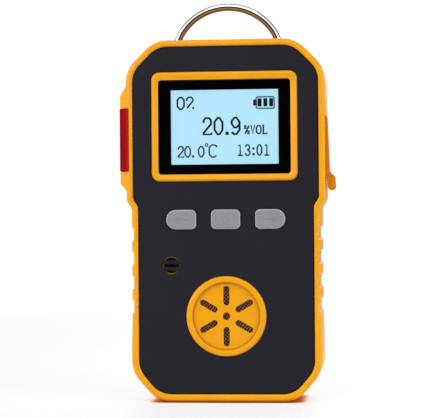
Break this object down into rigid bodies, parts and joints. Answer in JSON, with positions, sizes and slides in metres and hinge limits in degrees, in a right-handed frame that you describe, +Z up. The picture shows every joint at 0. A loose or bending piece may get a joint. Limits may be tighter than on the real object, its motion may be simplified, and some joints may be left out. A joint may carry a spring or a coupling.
{
  "type": "portable gas detector",
  "caption": "Hand-held gas detector: orange and dark case, framed display, keys, round sensor cap, side alarm lens, port cover, wire bail on top and a sprung belt clip behind.",
  "frame": {"origin": "centre of the flat base, under the middle of the case", "axes": "+X to the user's right when facing the display, -Y towards the user, +Z up towards the bail"},
  "size_m": [0.0777, 0.0435, 0.1444],
  "materials": {
    "orange_plastic": "fine satin moulding",
    "dark_soft_face": "matt soft-touch",
    "cover_rubber": "satin soft plastic",
    "seal_rubber": "matt",
    "clear_pane": "polished clear plastic",
    "black_print": "gloss black print",
    "lcd_face": "pale blue display film",
    "light_guide": "milky",
    "white_plastic": "moulded",
    "grey_silicone": "satin",
    "green_board": "solder mask",
    "black_plastic": "moulded",
    "cell_wrap": "satin foil",
    "plated_steel": "bright plated",
    "chrome_wire": "polished",
    "red_lens": "clear red moulding",
    "led_body": "clear resin",
    "mesh_metal": "fine woven wire",
    "foam": "closed cell"
  },
  "bodies": {
    "case": {"front_shell": "orange_plastic", "front_skin": "dark_soft_face", "case_seal": "seal_rubber", "rear_shell": "orange_plastic", "rear_pad": "dark_soft_face", "display_window": "clear_pane", "window_mask": "black_print", "lcd_panel": "lcd_face", "lcd_backlight": "light_guide", "lcd_holder": "white_plastic", "keypad_frame": "grey_silicone", "main_board": "green_board", "controller_chip": "black_plastic", "charger_chip": "black_plastic", "battery_connector": "white_plastic", "battery_pack": "cell_wrap", "buzzer": "black_plastic", "usb_socket": "plated_steel", "alarm_board": "green_board", "alarm_led_1": "led_body", "alarm_led_2": "led_body", "alarm_lens": "red_lens", "sensor_cap": "orange_plastic", "sensor_mesh": "mesh_metal", "dust_filter": "foam", "sensor_gasket": "foam", "gas_sensor": "white_plastic", "sensor_board": "green_board", "motor_case": "plated_steel", "clip_plate": "plated_steel", "clip_pin": "plated_steel", "clip_spring": "plated_steel", "switch_left": "black_plastic", "switch_power": "black_plastic", "switch_right": "black_plastic", "case_screw_1": "plated_steel", "case_screw_2": "plated_steel", "case_screw_3": "plated_steel", "case_screw_4": "plated_steel", "clip_screw_1": "plated_steel", "clip_screw_2": "plated_steel"},
    "bail": {"wire_bail": "chrome_wire"},
    "cover": {"port_cover": "cover_rubber"},
    "lever": {"clip_lever": "plated_steel"},
    "rotor": {"motor_rotor": "plated_steel"},
    "left_key": {"key_left": "grey_silicone"},
    "power_key": {"key_power": "grey_silicone"},
    "right_key": {"key_right": "grey_silicone"}
  },
  "joints": [
    {"name": "bail_hinge", "type": "hinge", "parent": "case", "child": "bail", "pos_m": [0, 0, 0.1228], "axis": [-1, 0, 0], "range_deg": [0, 90]},
    {"name": "cover_hinge", "type": "hinge", "parent": "case", "child": "cover", "pos_m": [0.0358, -0.00863, 0.1024], "axis": [0, -1, 0], "range_deg": [0, 90], "stiffness_Nm_per_rad": 0.002, "springref_deg": -5.73},
    {"name": "clip_hinge", "type": "hinge", "parent": "case", "child": "lever", "pos_m": [0, 0.0204, 0.087], "axis": [1, 0, 0], "range_deg": [0, 18], "stiffness_Nm_per_rad": 0.35, "springref_deg": -22.92, "deforming": ["clip_spring"]},
    {"name": "motor_spin", "type": "hinge", "parent": "case", "child": "rotor", "pos_m": [0.021, 0.008, 0.0215], "axis": [0, 0, 1], "continuous": true},
    {"name": "left_key_press", "type": "slide", "parent": "case", "child": "left_key", "axis": [0, 1, 0], "range_m": [0, 0.0007], "stiffness_N_per_m": 1500, "springref_m": -0.0002},
    {"name": "power_key_press", "type": "slide", "parent": "case", "child": "power_key", "axis": [0, 1, 0], "range_m": [0, 0.0007], "stiffness_N_per_m": 1500, "springref_m": -0.0002},
    {"name": "right_key_press", "type": "slide", "parent": "case", "child": "right_key", "axis": [0, 1, 0], "range_m": [0, 0.0007], "stiffness_N_per_m": 1500, "springref_m": -0.0002}
  ]
}
